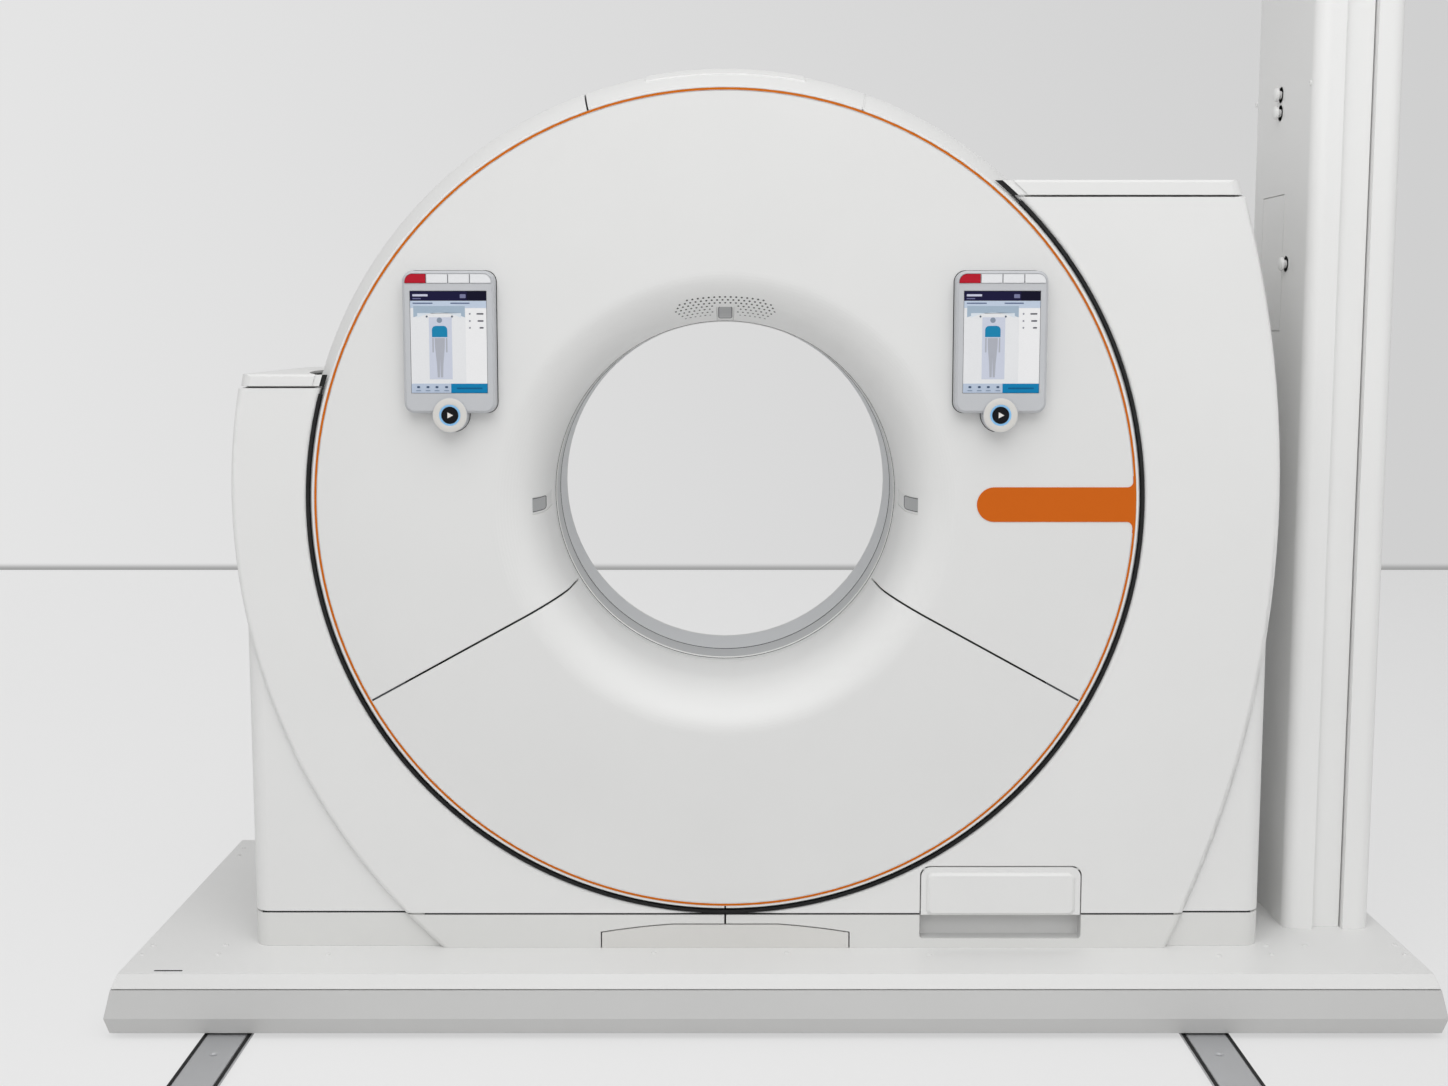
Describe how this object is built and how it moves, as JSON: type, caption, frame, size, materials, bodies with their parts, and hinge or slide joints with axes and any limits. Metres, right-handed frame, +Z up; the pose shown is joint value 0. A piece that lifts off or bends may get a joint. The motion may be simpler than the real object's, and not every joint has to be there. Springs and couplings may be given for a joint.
{
  "type": "ct scanner",
  "caption": "White tomography scanner with a tilting ring, control panels and a cable column, on a wheeled platform that runs on two floor rails.",
  "frame": {"origin": "on the floor, under the middle of the platform", "axes": "+X to the viewer's right, +Y to the rear along the rails and the bore, +Z up"},
  "size_m": [2.79, 4, 2.4],
  "materials": {
    "white_cover": "satin",
    "grey_cover": "satin",
    "panel_grey": "satin",
    "deck_paint": "satin",
    "skirt_paint": "satin",
    "column_paint": "satin",
    "frame_steel": "satin",
    "dark_paint": "satin",
    "rail_metal": "brushed",
    "wheel_steel": "ground",
    "cast_alloy": "cast",
    "tube_metal": "satin",
    "black_rubber": "matt",
    "orange_trim": "gloss",
    "window_film": "satin",
    "window_glass": "clear",
    "screen_glass": "clear",
    "red_key": "gloss",
    "white_key": "gloss",
    "blue_key": "gloss"
  },
  "bodies": {
    "track": {"rail_left": "rail_metal", "rail_right": "rail_metal", "end_stops": "black_rubber"},
    "carriage": {"carriage_frame": "frame_steel", "deck_plate": "deck_paint", "skirts": "skirt_paint", "upright_left": "frame_steel", "upright_right": "frame_steel", "tilt_bearings": "wheel_steel", "tilt_gearmotor": "dark_paint", "front_shell_left": "white_cover", "front_shell_right": "white_cover", "side_shell_left": "white_cover", "side_shell_right": "white_cover", "rear_shell_left": "white_cover", "rear_shell_right": "white_cover", "tower_cap_left": "white_cover", "tower_cap_right": "white_cover", "plinth_left": "white_cover", "plinth_right": "white_cover", "dock_cover": "white_cover", "service_pocket": "grey_cover", "rim_seals": "black_rubber", "column_post": "column_paint", "column_hatch": "column_paint"},
    "ring": {"ring_frame": "frame_steel", "main_bearing": "wheel_steel", "face_cover_upper": "white_cover", "face_cover_lower": "white_cover", "rear_cover": "white_cover", "rim_cover_left": "white_cover", "rim_cover_right": "white_cover", "window_trim": "white_cover", "top_vent_cover": "white_cover", "accent_ring": "orange_trim", "scan_window": "window_film", "bore_liner": "grey_cover", "laser_windows": "window_glass", "panel_left": "panel_grey", "panel_right": "panel_grey", "panel_screens": "screen_glass"},
    "rotor": {"rotor_drum": "cast_alloy", "xray_tube": "tube_metal", "detector": "dark_paint", "generator": "tube_metal"},
    "flap": {"service_flap": "white_cover"},
    "wheel_front_left_body": {"wheel_front_left": "wheel_steel"},
    "wheel_front_right_body": {"wheel_front_right": "wheel_steel"},
    "wheel_rear_left_body": {"wheel_rear_left": "wheel_steel"},
    "wheel_rear_right_body": {"wheel_rear_right": "wheel_steel"},
    "left_stop_key_body": {"left_stop_key": "red_key"},
    "left_key_a_body": {"left_key_a": "white_key"},
    "left_key_b_body": {"left_key_b": "white_key"},
    "left_key_c_body": {"left_key_c": "white_key"},
    "left_start_button_body": {"left_start_button": "blue_key"},
    "right_stop_key_body": {"right_stop_key": "red_key"},
    "right_key_a_body": {"right_key_a": "white_key"},
    "right_key_b_body": {"right_key_b": "white_key"},
    "right_key_c_body": {"right_key_c": "white_key"},
    "right_start_button_body": {"right_start_button": "blue_key"}
  },
  "joints": [
    {"name": "carriage_travel", "type": "slide", "parent": "track", "child": "carriage", "axis": [0, 1, 0], "range_m": [-1, 1]},
    {"name": "ring_tilt", "type": "hinge", "parent": "carriage", "child": "ring", "pos_m": [-0.105, 0, 1.09591], "axis": [1, 0, 0], "range_deg": [-30, 30]},
    {"name": "rotor_spin", "type": "hinge", "parent": "ring", "child": "rotor", "pos_m": [-0.105, 0, 1.09591], "axis": [0, 1, 0], "continuous": true},
    {"name": "flap_hinge", "type": "hinge", "parent": "carriage", "child": "flap", "pos_m": [0.49, -0.337, 0.3105], "axis": [-1, 0, 0], "range_deg": [0, 75]},
    {"name": "wheel_front_left_roll", "type": "hinge", "parent": "carriage", "child": "wheel_front_left_body", "pos_m": [-1.142, -0.39, 0.0483], "axis": [1, 0, 0], "continuous": true},
    {"name": "wheel_front_right_roll", "type": "hinge", "parent": "carriage", "child": "wheel_front_right_body", "pos_m": [0.896, -0.39, 0.0483], "axis": [1, 0, 0], "continuous": true},
    {"name": "wheel_rear_left_roll", "type": "hinge", "parent": "carriage", "child": "wheel_rear_left_body", "pos_m": [-1.142, 0.39, 0.0483], "axis": [1, 0, 0], "continuous": true},
    {"name": "wheel_rear_right_roll", "type": "hinge", "parent": "carriage", "child": "wheel_rear_right_body", "pos_m": [0.896, 0.39, 0.0483], "axis": [1, 0, 0], "continuous": true},
    {"name": "left_stop_key_press", "type": "slide", "parent": "ring", "child": "left_stop_key_body", "axis": [0, 1, 0], "range_m": [0, 0.0015], "stiffness_N_per_m": 800, "springref_m": -0.001},
    {"name": "left_key_a_press", "type": "slide", "parent": "ring", "child": "left_key_a_body", "axis": [0, 1, 0], "range_m": [0, 0.0015], "stiffness_N_per_m": 800, "springref_m": -0.001},
    {"name": "left_key_b_press", "type": "slide", "parent": "ring", "child": "left_key_b_body", "axis": [0, 1, 0], "range_m": [0, 0.0015], "stiffness_N_per_m": 800, "springref_m": -0.001},
    {"name": "left_key_c_press", "type": "slide", "parent": "ring", "child": "left_key_c_body", "axis": [0, 1, 0], "range_m": [0, 0.0015], "stiffness_N_per_m": 800, "springref_m": -0.001},
    {"name": "left_start_button_press", "type": "slide", "parent": "ring", "child": "left_start_button_body", "axis": [0, 1, 0], "range_m": [0, 0.0015], "stiffness_N_per_m": 800, "springref_m": -0.001},
    {"name": "right_stop_key_press", "type": "slide", "parent": "ring", "child": "right_stop_key_body", "axis": [0, 1, 0], "range_m": [0, 0.0015], "stiffness_N_per_m": 800, "springref_m": -0.001},
    {"name": "right_key_a_press", "type": "slide", "parent": "ring", "child": "right_key_a_body", "axis": [0, 1, 0], "range_m": [0, 0.0015], "stiffness_N_per_m": 800, "springref_m": -0.001},
    {"name": "right_key_b_press", "type": "slide", "parent": "ring", "child": "right_key_b_body", "axis": [0, 1, 0], "range_m": [0, 0.0015], "stiffness_N_per_m": 800, "springref_m": -0.001},
    {"name": "right_key_c_press", "type": "slide", "parent": "ring", "child": "right_key_c_body", "axis": [0, 1, 0], "range_m": [0, 0.0015], "stiffness_N_per_m": 800, "springref_m": -0.001},
    {"name": "right_start_button_press", "type": "slide", "parent": "ring", "child": "right_start_button_body", "axis": [0, 1, 0], "range_m": [0, 0.0015], "stiffness_N_per_m": 800, "springref_m": -0.001}
  ],
  "couplings": [
    {"joint": "wheel_front_left_roll", "follows": "carriage_travel", "rad_per_m": -25},
    {"joint": "wheel_front_right_roll", "follows": "carriage_travel", "rad_per_m": -25},
    {"joint": "wheel_rear_left_roll", "follows": "carriage_travel", "rad_per_m": -25},
    {"joint": "wheel_rear_right_roll", "follows": "carriage_travel", "rad_per_m": -25}
  ]
}
